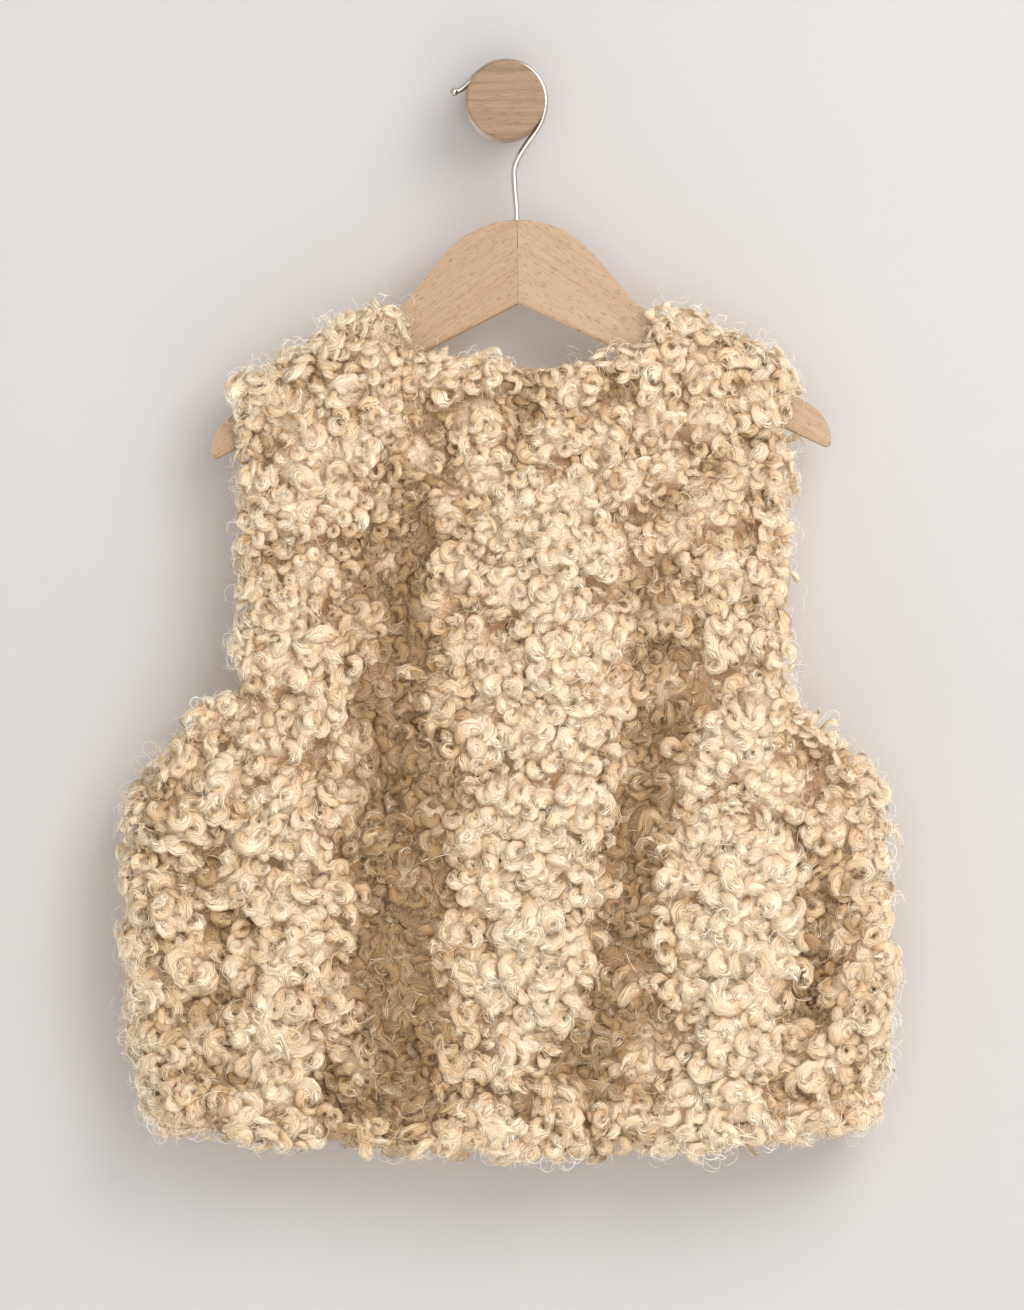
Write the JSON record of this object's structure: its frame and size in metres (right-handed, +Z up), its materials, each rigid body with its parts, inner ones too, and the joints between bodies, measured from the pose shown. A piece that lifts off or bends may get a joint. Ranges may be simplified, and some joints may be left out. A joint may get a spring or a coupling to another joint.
{
  "type": "faux fur gilet on a wooden hanger and wall peg",
  "caption": "Child's sleeveless gilet of long curly faux fur, hung back to the room on a mitred wooden hanger whose wire hook lies on a round wall peg.",
  "frame": {"origin": "centre of the peg's flat back face, on the wall", "axes": "+Y into the wall, +Z up, +X to the right as seen from the room; the gilet's back faces the room, along -Y"},
  "size_m": [0.4383, 0.084, 0.6228],
  "materials": {
    "fur_back": "long curly faux fur in cream beige, brown between the locks",
    "fur_fronts": "long curly faux fur in cream beige, brown between the locks",
    "hanger_wood": "pale beech under a thin satin lacquer, with short dark flecks",
    "hook_steel": "satin nickel on wire",
    "peg_wood": "pale wood with level grain, satin"
  },
  "bodies": {
    "root": {"back_panel": "fur_back", "front_left": "fur_fronts", "front_right": "fur_fronts", "hanger_left": "hanger_wood", "hanger_right": "hanger_wood", "hook": "hook_steel", "wall_peg": "peg_wood"}
  },
  "joints": []
}
